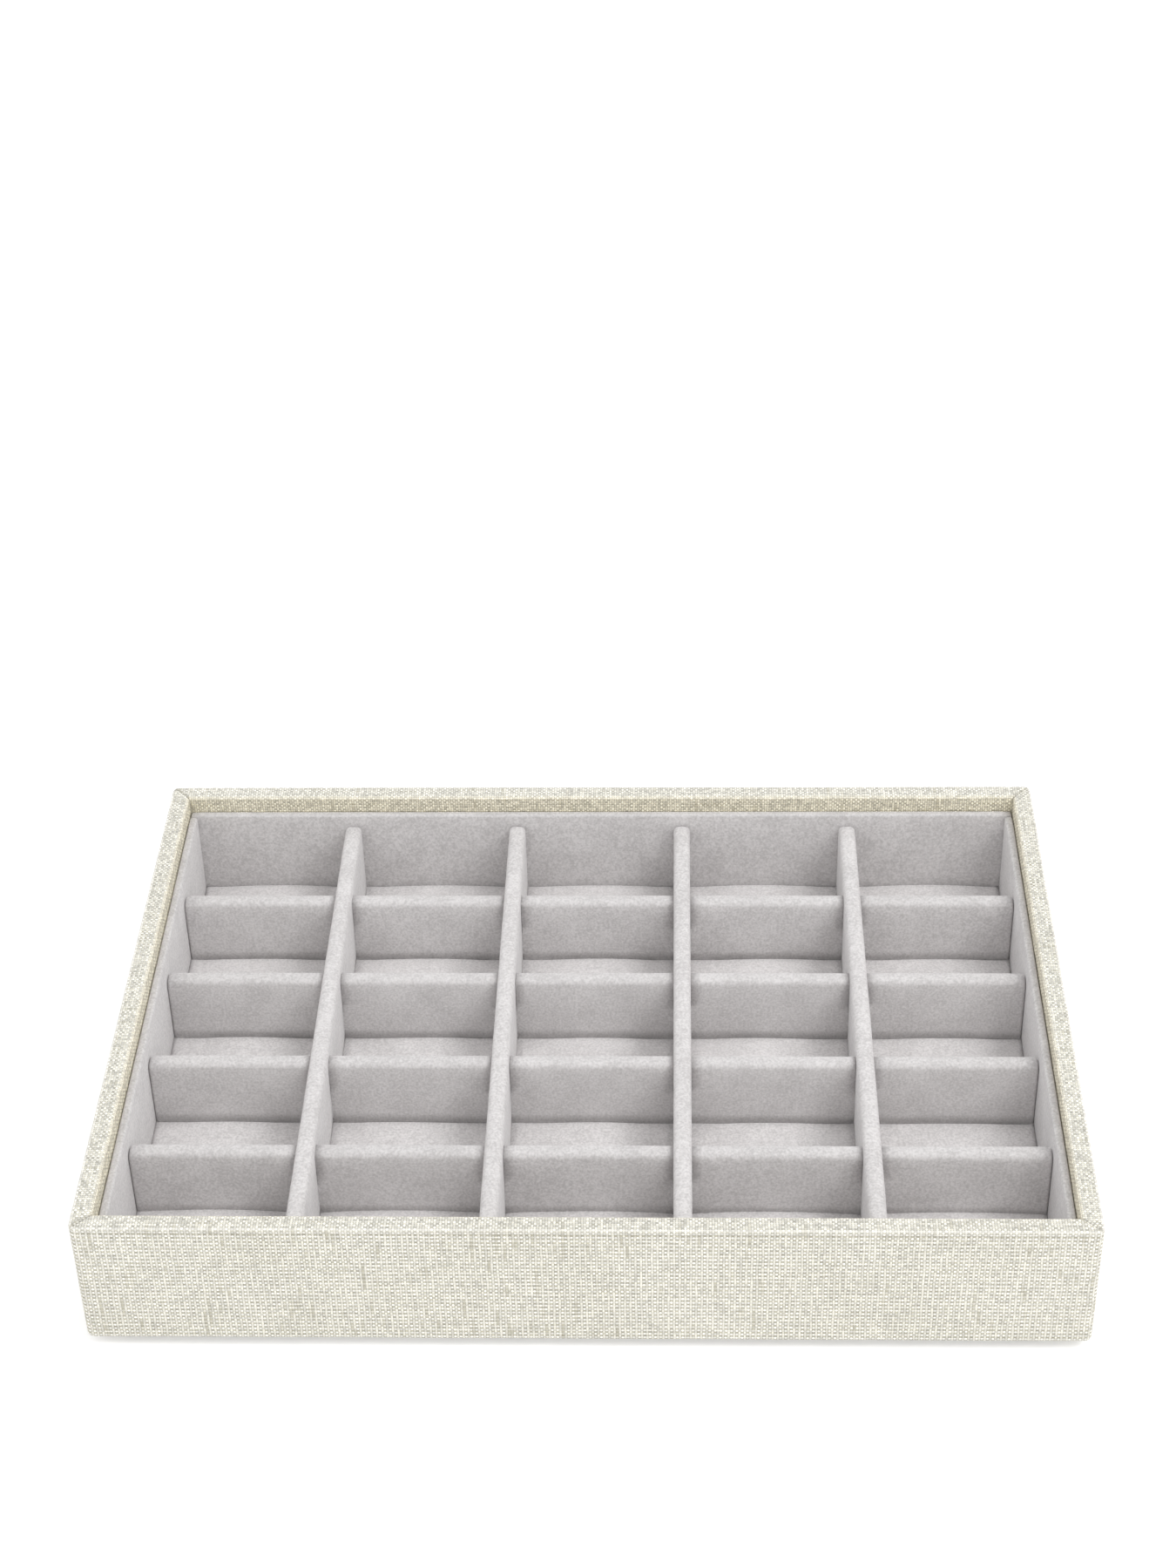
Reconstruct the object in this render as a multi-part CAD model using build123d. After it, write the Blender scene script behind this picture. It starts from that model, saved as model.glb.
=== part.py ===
from build123d import *
from math import hypot
import os

# A stackable jewelry tray: four rebated wall boards and a base board wrapped in one strip of linen,
# velvet liners inside the walls, a crowned velvet floor pad, and an egg-crate of velvet-covered
# dividers that makes five by five compartments. A velvet-covered panel under the tray drops into
# the recess above the liners of the tray below.
# The origin is the middle of the face that the tray stands on: +X right, +Y back, +Z up. In mm.

# Tray outside
tray_width = 250.0
tray_depth = 180.0
wall_height = 38.0  # from the linen's underside to the rim

# Boards
wall_board_thickness = 4.0
base_board_thickness = 3.0
corner_rebate_depth = 2.0  # how far a side board's end sits into the front and back boards
base_rebate_width = 2.0  # how far the base board sits into each wall board
glue_line = 0.1  # slack in a glued joint between boards

# Linen wrap
linen_thickness = 0.6
linen_corner_radius = 1.9  # upright outer corners
rim_fold_radius = 1.0
bottom_fold_radius = 1.0
linen_turn_in = 15.0  # how far the linen runs down inside the rim, behind the liners
linen_turn_under = 14.0  # how far it runs in under the base board
mitre_seam_width = 0.4
mitre_seam_depth = 0.3

# Stacking base under the tray
velvet_thickness = 0.6
stacking_card_thickness = 2.4
stacking_clearance = 1.0  # to the inside of the rim of the tray below, on each side
stacking_corner_radius = 2.2
stacking_edge_radius = 1.2
infill_gap = 0.3  # between the infill sheet and the turned-under linen

# Liners
liner_card_thickness = 1.0
liner_gap = 0.2  # between a liner's back and the turned-in linen
liner_drop = 4.8  # from the rim down to the liners' tops
liner_top_radius = 0.9

# Floor pad
floor_card_thickness = 1.0
floor_foam_thickness = 1.6  # where the dividers press on it
pad_gap = 0.3  # around the pad and around each of its pillows
pillow_rise = 0.6  # from the valleys up to a pillow's corners
pillow_crown = 1.3  # from a pillow's corners up to its middle

# Dividers
column_divider_count = 4
row_divider_count = 4
divider_card_thickness = 3.5
column_drop = 7.9  # from the rim down to the tops of the dividers that run front to back
row_drop = 10.5  # from the rim down to the tops of the dividers that run left to right
divider_top_radius = 1.5
column_end_radius = 2.4
row_end_radius = 2.4
divider_end_gap = 0.3  # between a divider's end and the liner
slot_clearance = 0.15  # on each side of a half-lap slot

cut_overrun = 1.0  # how far a cut runs past what it cuts

# Heights
stacking_base_height = stacking_card_thickness + velvet_thickness
rim_z = stacking_base_height + wall_height
board_bottom_z = stacking_base_height + linen_thickness
board_top_z = rim_z - linen_thickness
base_top_z = board_bottom_z + base_board_thickness
foam_bottom_z = base_top_z + floor_card_thickness
velvet_bottom_z = foam_bottom_z + floor_foam_thickness
divider_foot_z = velvet_bottom_z + velvet_thickness
liner_top_z = rim_z - liner_drop
column_top_z = rim_z - column_drop
row_top_z = rim_z - row_drop
lap_z = (divider_foot_z + row_top_z) / 2

# Widths and depths, from the outside in
board_ring_width = tray_width - 2 * linen_thickness
board_ring_depth = tray_depth - 2 * linen_thickness
board_inner_width = board_ring_width - 2 * wall_board_thickness
board_inner_depth = board_ring_depth - 2 * wall_board_thickness
rim_inner_width = board_inner_width - 2 * linen_thickness
rim_inner_depth = board_inner_depth - 2 * linen_thickness
liner_thickness = liner_card_thickness + 2 * velvet_thickness
lined_width = rim_inner_width - 2 * (liner_gap + liner_thickness)
lined_depth = rim_inner_depth - 2 * (liner_gap + liner_thickness)

# Compartments
divider_thickness = divider_card_thickness + 2 * velvet_thickness
cell_width = (lined_width - column_divider_count * divider_thickness) / (column_divider_count + 1)
cell_depth = (lined_depth - row_divider_count * divider_thickness) / (row_divider_count + 1)
column_pitch = cell_width + divider_thickness
row_pitch = cell_depth + divider_thickness
column_places = [
    (index - (column_divider_count - 1) / 2) * column_pitch for index in range(column_divider_count)
]
row_places = [
    ((row_divider_count - 1) / 2 - index) * row_pitch for index in range(row_divider_count)
]
cell_centres = [
    ((column - column_divider_count / 2) * column_pitch, (row - row_divider_count / 2) * row_pitch)
    for column in range(column_divider_count + 1)
    for row in range(row_divider_count + 1)
]


def block(width, depth, bottom, top):
    """A box centred on the tray, between two heights."""
    return Pos(0, 0, bottom) * Box(width, depth, top - bottom, align=(Align.CENTER, Align.CENTER, Align.MIN))


def round_uprights(solid, radius):
    """The solid with its upright edges rounded."""
    return fillet(solid.edges().filter_by(Axis.Z), radius)


def round_top(solid, radius):
    """The solid with the edges of its highest face rounded."""
    return fillet(solid.faces().sort_by(Axis.Z)[-1].edges(), radius)


def round_bottom(solid, radius):
    """The solid with the edges of its lowest face rounded."""
    return fillet(solid.faces().sort_by(Axis.Z)[0].edges(), radius)


# Wall boards and base board

def board_ring():
    """The space of the four wall boards as one ring, which the linen wraps."""
    outside = block(board_ring_width, board_ring_depth, board_bottom_z, board_top_z)
    bottom = board_bottom_z - cut_overrun
    inside = block(board_inner_width, board_inner_depth, bottom, board_top_z + cut_overrun)
    return round_uprights(outside, linen_corner_radius - linen_thickness) - inside


def rebated_ring():
    """The ring of wall boards with the rebate for the base board along its lower inside edges."""
    rebate_width = board_inner_width + 2 * base_rebate_width
    rebate_depth = board_inner_depth + 2 * base_rebate_width
    return board_ring() - block(rebate_width, rebate_depth, board_bottom_z - cut_overrun, base_top_z)


def side_board_space(side, slack):
    """The block that a side board lies in, opened by the slack of a glued joint where it is cut out."""
    width = wall_board_thickness + 2 * slack
    depth = board_inner_depth + 2 * (corner_rebate_depth + slack)
    place = side * (board_ring_width - wall_board_thickness) / 2
    return Pos(place, 0, 0) * block(width, depth, board_bottom_z - cut_overrun, board_top_z + cut_overrun)


def side_wall_board(side):
    """A left or right wall board, whose ends sit in the rebates of the front and back boards."""
    return rebated_ring() & side_board_space(side, 0)


def end_wall_board(end):
    """A front or back wall board, rebated at both ends for the side boards."""
    place = end * (board_ring_depth - wall_board_thickness) / 2
    space = block(board_ring_width, wall_board_thickness, board_bottom_z, board_top_z)
    board = rebated_ring() & Pos(0, place, 0) * space
    return board - side_board_space(-1, glue_line) - side_board_space(1, glue_line)


def base_board():
    """The bottom board, glued into the rebates along the walls' lower edges."""
    width = board_inner_width + 2 * (base_rebate_width - glue_line)
    depth = board_inner_depth + 2 * (base_rebate_width - glue_line)
    return block(width, depth, board_bottom_z, base_top_z)


# Linen

def linen_wrap():
    """One strip of linen: in under the base, up the outside, over the rim and down inside the walls."""
    wrap = round_uprights(block(tray_width, tray_depth, stacking_base_height, rim_z), linen_corner_radius)
    wrap = round_top(wrap, rim_fold_radius)
    wrap = round_bottom(wrap, bottom_fold_radius)
    wrap -= block(rim_inner_width, rim_inner_depth, board_bottom_z, rim_z + cut_overrun)
    rim_face = wrap.faces().filter_by(Axis.Z).sort_by(Axis.Z)[-1]
    wrap = fillet(rim_face.inner_wires().edges(), rim_fold_radius)
    wrap -= board_ring()
    wrap -= block(board_inner_width, board_inner_depth, board_bottom_z, rim_z - linen_turn_in)
    wrap -= block(
        tray_width - 2 * linen_turn_under,
        tray_depth - 2 * linen_turn_under,
        stacking_base_height - cut_overrun,
        board_bottom_z + cut_overrun,
    )
    return wrap - mitre_seams()


def mitre_seams():
    """The slits where the folded linen meets on the rim, at its corners but short of where they round off."""
    outer_inset = linen_corner_radius
    inner_inset = (tray_width - rim_inner_width) / 2 + cut_overrun
    middle_inset = (outer_inset + inner_inset) / 2
    run = inner_inset - outer_inset
    seam = Box(hypot(run, run), mitre_seam_width, 2 * mitre_seam_depth)
    seams = []
    for side in (-1, 1):
        for end in (-1, 1):
            corner = Pos(side * (tray_width / 2 - middle_inset), end * (tray_depth / 2 - middle_inset), rim_z)
            seams.append(corner * Rot(0, 0, side * end * 45) * seam)
    return seams


# Stacking base

def infill_sheet():
    """A sheet of card that fills the step inside the turned-under linen."""
    width = tray_width - 2 * (linen_turn_under + infill_gap)
    depth = tray_depth - 2 * (linen_turn_under + infill_gap)
    return block(width, depth, stacking_base_height, board_bottom_z)


def stacking_card():
    """The card inside the raised panel under the tray."""
    width = rim_inner_width - 2 * (stacking_clearance + velvet_thickness)
    depth = rim_inner_depth - 2 * (stacking_clearance + velvet_thickness)
    card = block(width, depth, velvet_thickness, stacking_base_height)
    return round_uprights(card, stacking_corner_radius - velvet_thickness)


def stacking_velvet():
    """The velvet over the panel, which is all that the tray stands on."""
    width = rim_inner_width - 2 * stacking_clearance
    depth = rim_inner_depth - 2 * stacking_clearance
    cover = round_uprights(block(width, depth, 0, stacking_base_height), stacking_corner_radius)
    return round_bottom(cover, stacking_edge_radius) - stacking_card()


# Velvet-sleeved cards

def round_upper_corners(board, radius):
    """An upright board along X with its two upper corners rounded."""
    return fillet(board.edges().filter_by(Axis.Y).group_by(Axis.Z)[-1], radius)


def sleeved_card(length, thickness, bottom, top, corner_radius, edge_radius):
    """A divider card and its velvet sleeve, soft-edged and closed over the top and both ends."""
    inner_length = length - 2 * velvet_thickness
    inner_thickness = thickness - 2 * velvet_thickness
    card = block(inner_length, inner_thickness, bottom, top - velvet_thickness)
    card = round_upper_corners(card, corner_radius - velvet_thickness)
    sleeve = round_upper_corners(block(length, thickness, bottom, top), corner_radius)
    side_edges = sleeve.faces().filter_by(Axis.Y).edges()
    sleeve = fillet(side_edges.filter_by_position(Axis.Z, bottom, top, inclusive=(False, True)), edge_radius)
    return card, sleeve - card


# Liners

def liner(length):
    """A liner card with velvet over its front, its rounded top, its ends and its back."""
    inner_length = length - 2 * velvet_thickness
    card = block(inner_length, liner_card_thickness, base_top_z, liner_top_z - velvet_thickness)
    sleeve = block(length, liner_thickness, base_top_z, liner_top_z)
    sleeve = fillet(sleeve.edges().filter_by(Axis.X).group_by(Axis.Z)[-1], liner_top_radius)
    return card, sleeve - card


def end_liner(end):
    """The front or back liner, as long as the inside of the rim."""
    place = Pos(0, end * (lined_depth + liner_thickness) / 2, 0)
    return [place * solid for solid in liner(rim_inner_width - 2 * liner_gap)]


def side_liner(side):
    """The left or right liner, held between the front and back ones."""
    place = Pos(side * (lined_width + liner_thickness) / 2, 0, 0) * Rot(0, 0, 90)
    return [place * solid for solid in liner(lined_depth - 2 * liner_gap)]


# Floor pad

pad_width = lined_width - 2 * pad_gap
pad_depth = lined_depth - 2 * pad_gap
pillow_width = cell_width - 2 * pad_gap
pillow_depth = cell_depth - 2 * pad_gap


def floor_card():
    """The card that the pad is built on."""
    width = pad_width - 2 * velvet_thickness
    depth = pad_depth - 2 * velvet_thickness
    return block(width, depth, base_top_z, foam_bottom_z)


def pillow(inset):
    """One compartment's pillow, crowned as a cap of a large ball. Inset, it is the foam in its velvet."""
    half_diagonal = hypot(pillow_width, pillow_depth) / 2
    crown_radius = half_diagonal**2 / (2 * pillow_crown) + pillow_crown / 2
    crown_z = divider_foot_z + pillow_rise + pillow_crown
    ball = Pos(0, 0, crown_z - crown_radius) * Rot(0, 90, 0) * Sphere(crown_radius - inset)
    return ball & block(pillow_width - 2 * inset, pillow_depth - 2 * inset, foam_bottom_z, crown_z)


def floor_foam():
    """The foam under the velvet: a sheet with a pillow for each compartment."""
    width = pad_width - 2 * velvet_thickness
    depth = pad_depth - 2 * velvet_thickness
    one_pillow = pillow(velvet_thickness)
    sheet = block(width, depth, foam_bottom_z, velvet_bottom_z)
    return sheet + [Pos(x, y, 0) * one_pillow for x, y in cell_centres]


def floor_velvet(foam, card):
    """The velvet over the foam and down its edges. The dividers stand in the valleys between its pillows."""
    one_pillow = pillow(0)
    outside = block(pad_width, pad_depth, base_top_z, divider_foot_z)
    outside += [Pos(x, y, 0) * one_pillow for x, y in cell_centres]
    return outside - foam - card


# Dividers

def column_divider(x):
    """A divider that runs front to back, slotted from below at each crossing."""
    length = lined_depth - 2 * divider_end_gap
    sleeved = sleeved_card(
        length, divider_thickness, divider_foot_z, column_top_z, column_end_radius, divider_top_radius
    )
    slot = block(
        divider_thickness + 2 * cut_overrun,
        divider_thickness + 2 * slot_clearance,
        divider_foot_z - cut_overrun,
        lap_z + slot_clearance,
    )
    slots = [Pos(0, y, 0) * slot for y in row_places]
    return [Pos(x, 0, 0) * (Rot(0, 0, 90) * solid - slots) for solid in sleeved]


def row_divider(y):
    """A divider that runs left to right, slotted from above so that the columns pass through it."""
    length = lined_width - 2 * divider_end_gap
    sleeved = sleeved_card(
        length, divider_thickness, divider_foot_z, row_top_z, row_end_radius, divider_top_radius
    )
    slot = block(
        divider_thickness + 2 * slot_clearance,
        divider_thickness + 2 * cut_overrun,
        lap_z,
        row_top_z + cut_overrun,
    )
    slots = [Pos(x, 0, 0) * slot for x in column_places]
    return [Pos(0, y, 0) * (solid - slots) for solid in sleeved]


# The whole tray, one solid for each piece

pieces = {
    "front_wall_board": end_wall_board(-1),
    "back_wall_board": end_wall_board(1),
    "left_wall_board": side_wall_board(-1),
    "right_wall_board": side_wall_board(1),
    "base_board": base_board(),
    "linen_wrap": linen_wrap(),
    "base_infill_sheet": infill_sheet(),
    "stacking_base_card": stacking_card(),
    "stacking_base_velvet": stacking_velvet(),
    "floor_card": floor_card(),
    "floor_foam": floor_foam(),
}
pieces["floor_velvet"] = floor_velvet(pieces["floor_foam"], pieces["floor_card"])
sleeved_cards = {
    "front_liner": end_liner(-1),
    "back_liner": end_liner(1),
    "left_liner": side_liner(-1),
    "right_liner": side_liner(1),
}
for index, x in enumerate(column_places):
    sleeved_cards[f"column_divider_{index + 1}"] = column_divider(x)
for index, y in enumerate(row_places):
    sleeved_cards[f"row_divider_{index + 1}"] = row_divider(y)
for name, (card, velvet) in sleeved_cards.items():
    pieces[name + "_card"] = card
    pieces[name + "_velvet"] = velvet

os.makedirs("parts", exist_ok=True)
for name, piece in pieces.items():
    export_step(piece, f"parts/{name}.step")
print(len(pieces), "pieces; compartment", round(cell_width, 2), "x", round(cell_depth, 2), "mm")
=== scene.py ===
import math

import bmesh
import bpy
import numpy as np
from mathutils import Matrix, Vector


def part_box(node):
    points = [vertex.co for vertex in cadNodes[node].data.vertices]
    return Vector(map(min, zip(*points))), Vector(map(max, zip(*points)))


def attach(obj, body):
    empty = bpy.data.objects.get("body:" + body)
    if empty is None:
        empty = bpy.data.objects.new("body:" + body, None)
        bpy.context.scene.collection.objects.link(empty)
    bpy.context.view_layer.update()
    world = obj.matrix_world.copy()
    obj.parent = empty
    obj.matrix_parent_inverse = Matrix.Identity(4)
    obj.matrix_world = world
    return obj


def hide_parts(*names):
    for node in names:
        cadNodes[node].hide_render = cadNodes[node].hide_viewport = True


# A jewelry tray in natural linen, lined with pale grey velvet: 5 by 5 compartments.
# Everything is in metres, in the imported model's own frame.

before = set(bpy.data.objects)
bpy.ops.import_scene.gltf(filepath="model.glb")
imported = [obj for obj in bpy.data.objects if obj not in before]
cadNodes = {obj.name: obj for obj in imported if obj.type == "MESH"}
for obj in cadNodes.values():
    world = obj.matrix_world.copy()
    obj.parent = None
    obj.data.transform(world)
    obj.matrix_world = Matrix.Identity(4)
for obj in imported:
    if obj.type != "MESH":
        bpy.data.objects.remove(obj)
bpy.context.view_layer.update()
print("Tray: the packed frame is loaded")


# Sizes read from the frame

def sizeOf(name):  # a CAD node's lowest corner, highest corner and middle
    low, high = (np.array(corner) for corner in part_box(name))
    return low, high, (low + high) / 2


linenLow, linenHigh, _ = sizeOf("linen_wrap")
boardLow, boardHigh, _ = sizeOf("left_wall_board")
linenGauge = boardLow[2] - linenLow[2]  # the linen's thickness in the CAD model
boardGauge = boardHigh[0] - boardLow[0]
rimBreadth = boardGauge + 2 * linenGauge
rimHeight = linenHigh[2]
columnNames = [f"column_divider_{index}_velvet" for index in (1, 2, 3, 4)]
rowNames = [f"row_divider_{index}_velvet" for index in (1, 2, 3, 4)]
columnPlaces = np.array([sizeOf(name)[2][0] for name in columnNames])
rowPlaces = np.array([sizeOf(name)[2][1] for name in rowNames])
columnLow, columnHigh, _ = sizeOf(columnNames[0])
rowHigh = sizeOf(rowNames[0])[1]
dividerThickness = columnHigh[0] - columnLow[0]


# Meshes worked out as whole arrays

hair = 1e-6  # a length or a share under this counts as nothing


def makeMesh(name, points, quads, coords, replaced, material, marks=None):
    # points end in (x, y, z), quads is (m, 4) places in points, coords is the UV of each corner, (m, 4, 2),
    # and marks holds values for each point that the material reads
    mesh = bpy.data.meshes.new(name)
    mesh.from_pydata(points.reshape(-1, 3).tolist(), [], quads.tolist())
    layer = mesh.uv_layers.new(name="UVMap")
    layer.data.foreach_set("uv", coords.astype(np.float32).ravel())
    for mark, values in (marks or {}).items():
        held = mesh.attributes.new(mark, "FLOAT", "POINT").data
        held.foreach_set("value", values.astype(np.float32).ravel())
    sheet = bmesh.new()
    sheet.from_mesh(mesh)
    bmesh.ops.remove_doubles(sheet, verts=sheet.verts, dist=hair)
    bmesh.ops.dissolve_degenerate(sheet, edges=sheet.edges, dist=hair)
    sheet.to_mesh(mesh)
    sheet.free()
    mesh.shade_smooth()
    piece = bpy.data.objects.new(name, mesh)
    bpy.context.scene.collection.objects.link(piece)
    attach(piece, "root")
    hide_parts(*replaced)
    piece.data.materials.append(material)
    return piece


def gridQuads(rows, columns, closed=False):  # quads of a grid; closed joins the last column to the first
    across = np.arange(columns if closed else columns - 1)
    down = np.arange(rows - 1)[:, None]
    right = (across + 1) % columns
    corners = [down * columns + across, down * columns + right,
               (down + 1) * columns + right, (down + 1) * columns + across]
    return np.stack(corners, axis=-1).reshape(-1, 4)


def arc(start, end, steps):  # angles in degrees, as radians
    return np.radians(np.linspace(start, end, steps + 1))


def thicken(piece, thickness):  # gives a single-layer skin its thickness, inwards
    shell = piece.modifiers.new("thickness", "SOLIDIFY")
    shell.thickness = thickness
    shell.offset = -1
    shell.use_rim = True


softWaves = {
    "count": 6,
    "longest": 2.5,  # as a multiple of the shortest
}


def ripple(points, height, length, seed):
    # a few slow sine waves in random directions, added up: height is their rough size, and length that of the
    # shortest wave
    rng = np.random.default_rng(seed)
    total = np.zeros(points.shape[:-1])
    for _ in range(softWaves["count"]):
        direction = rng.normal(size=3)
        direction /= np.linalg.norm(direction)
        wave = length * rng.uniform(1, softWaves["longest"])
        total += np.sin(points @ direction * (2 * math.pi / wave) + rng.uniform(0, 2 * math.pi))
    return total * height / (softWaves["count"] / 2)


# Node helpers

unit = (0.0, 1.0)
white = (1, 1, 1, 1)
middleGrey = (0.5, 0.5, 0.5)  # a noise's mean colour


def newMaterial(name):
    material = bpy.data.materials.new(name)
    material.use_nodes = True
    tree = material.node_tree
    return material, tree, tree.nodes["Principled BSDF"]


def addNode(tree, kind, inputs=None, **settings):  # an input given as a socket is linked
    node = tree.nodes.new(kind)
    for key, value in settings.items():
        setattr(node, key, value)
    for key, value in (inputs or {}).items():
        if isinstance(value, bpy.types.NodeSocket):
            tree.links.new(value, node.inputs[key])
        else:
            node.inputs[key].default_value = value
    return node


def calc(tree, operation, first, second=0.0, third=0.0):
    inputs = {0: first, 1: second, 2: third}
    return addNode(tree, "ShaderNodeMath", inputs, operation=operation).outputs[0]


def times(tree, first, second):
    return calc(tree, "MULTIPLY", first, second)


def weigh(tree, first, second, share):  # share of the first value and the rest of the second
    return calc(tree, "ADD", times(tree, first, share), times(tree, second, 1 - share))


def addNoise(tree, vector, scale, detail=2.0, roughness=0.5):
    inputs = {"Vector": vector, "Scale": scale, "Detail": detail, "Roughness": roughness}
    return addNode(tree, "ShaderNodeTexNoise", inputs).outputs


def mixColour(tree, factor, first, second, blend="MIX"):
    inputs = {0: factor, 6: first, 7: second}
    return addNode(tree, "ShaderNodeMix", inputs, data_type="RGBA", blend_type=blend).outputs[2]


def tint(tree, colour, by, share=1.0):
    return mixColour(tree, share, colour, by, "MULTIPLY")


def mixValue(tree, factor, first, second):
    return addNode(tree, "ShaderNodeMix", {0: factor, 2: first, 3: second}, data_type="FLOAT").outputs[0]


def spread(tree, value, span, newSpan=unit):  # carries one span of values over to another, within its ends
    inputs = {"Value": value, "From Min": span[0], "From Max": span[1],
              "To Min": newSpan[0], "To Max": newSpan[1]}
    return addNode(tree, "ShaderNodeMapRange", inputs).outputs["Result"]


def readMark(tree, name):  # a value that makeMesh put on each point
    return addNode(tree, "ShaderNodeAttribute", attribute_name=name).outputs["Fac"]


def objectPlace(tree):
    return addNode(tree, "ShaderNodeTexCoord").outputs["Object"]


def dress(tree, shader, look, colour, roughness, height):
    tree.links.new(colour, shader.inputs["Base Color"])
    tree.links.new(roughness, shader.inputs["Roughness"])
    shader.inputs["Specular IOR Level"].default_value = look["gloss"]
    shader.inputs["Sheen Weight"].default_value = look["sheen"]
    shader.inputs["Sheen Roughness"].default_value = look["sheenWidth"]
    inputs = {"Height": height, "Distance": look["bump"], "Strength": look["bumpShare"]}
    bump = addNode(tree, "ShaderNodeBump", inputs)
    tree.links.new(bump.outputs["Normal"], shader.inputs["Normal"])


# Linen cloth: a plain weave with slubs

linenCloth = {
    "upPitch": 0.000672,  # from one upright thread to the next
    "roundPitch": 0.00062,  # from one level thread to the next
    "sway": 0.0005,  # threads wander within this width
    "swayScale": 170.0,  # and this often in a metre
    "slubLength": 0.014,
    "slubStep": 3.7,  # from one thread to the next in the noise that the slubs are taken from
    "slubRoughness": 0.6,
    "slubSpan": (0.3, 0.7),
    "upSwell": (0.9, 1.1),  # the size of a thread in its thin and its thick stretches
    "roundSwell": (0.88, 1.08),
    "fullness": 0.7,  # the power that rounds a thread's section
    "level": 0.5,  # halfway between over and under
    "crimp": 0.45,  # how far a thread goes over and under
    "upThread": (1.0, 0.985, 0.94, 1),
    "roundThread": (0.80, 0.775, 0.70, 1),
    "lowRow": (0.66, 0.645, 0.56, 1),  # every other level thread is thinner, so its row lies lower, in shade,
    "lowRowUp": (0.85, 0.84, 0.79, 1),  # and takes what crosses it down a little too
    "lowRowShare": (0.25, 1.0),  # how plainly that shows on the rim and on the outside
    "unevenness": 0.19,  # how much one crossing differs from the next
    "rimUnevenness": 0.28,
    "rimPaintedShade": (0.85, 0.85, 0.83, 1),  # painted shade: what the threads on the rim and inside it are tinted by, darkening the rim's top, which faces the light
    "bothSlubs": (0.7, 1.3),  # the span of the two threads' slubs, added up
    "slubShade": (0.91, 1.09),
    "fleck": (0.40, 0.37, 0.27, 1),  # darker fibre in the thickest slubs
    "fleckSpan": (0.60, 0.68),
    "fleckShare": (0.0, 0.6),
    # the colour between the threads: darker yarn, with painted shade in the weave's gaps
    "gap": (0.22, 0.20, 0.15, 1),
    "gapSpan": (0.06, 0.46),  # the heights between which the gap's colour gives way to the thread's
    "inside": (1.11, 1.07, 0.96, 1),  # painted light: what the band inside the rim is tinted lighter by, where less light comes
    "insideDrop": 0.03,  # and painted shade: how much more of the gaps' colour shows there
    "foldFill": 0.6,  # how far a pressed fold closes the gaps
    "paintedFoldHighlight": 0.3,  # and how far it takes the threads' light colour, as a painted highlight
    "seamShade": 0.75,  # how much of the gap's colour a seam takes: a dark joint on the rim, and painted shade in the inner corners and the crease's groove
    "castScale": 60.0,  # clouds of yellower cloth in a metre
    "castDetail": 3.0,
    "castSpan": (0.35, 0.65),
    "cast": (0.72, 0.70, 0.62, 1),
    "castShare": 0.12,
    "roughness": (0.95, 0.75),  # in the gaps and on the threads
    "gloss": 0.2,
    "sheen": 0.12,
    "sheenWidth": 0.6,
    "bump": 0.00025,
    "bumpShare": 1.0,
}


def swayed(tree, look, place):  # moves a place a little, by how far a noise's colour is from grey
    inputs = {0: addNoise(tree, place, look["swayScale"])["Color"], 1: middleGrey}
    drift = addNode(tree, "ShaderNodeVectorMath", inputs, operation="SUBTRACT")
    inputs = {0: drift.outputs["Vector"], "Scale": look["sway"]}
    sway = addNode(tree, "ShaderNodeVectorMath", inputs, operation="SCALE")
    inputs = {0: place, 1: sway.outputs["Vector"]}
    return addNode(tree, "ShaderNodeVectorMath", inputs, operation="ADD").outputs["Vector"]


def threadSlubs(tree, look, count, along):  # each thread takes a line of its own through a noise
    inputs = {"X": times(tree, calc(tree, "FLOOR", count), look["slubStep"]),
              "Y": calc(tree, "DIVIDE", along, look["slubLength"])}
    place = addNode(tree, "ShaderNodeCombineXYZ", inputs).outputs["Vector"]
    return addNoise(tree, place, 1.0, roughness=look["slubRoughness"])["Fac"]


def threadHeight(tree, look, wave, crossWave, slub, crimp, swell):
    # Across a thread its height is the size of a sine, one half wave for each thread. Along it, it rises
    # where it passes over and sinks where it passes under, one after the other.
    size = calc(tree, "POWER", calc(tree, "ABSOLUTE", wave), look["fullness"])
    over = times(tree, calc(tree, "SIGN", wave), crossWave)
    lift = calc(tree, "MULTIPLY_ADD", over, crimp, look["level"])
    return times(tree, times(tree, size, lift), spread(tree, slub, look["slubSpan"], swell))


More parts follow.
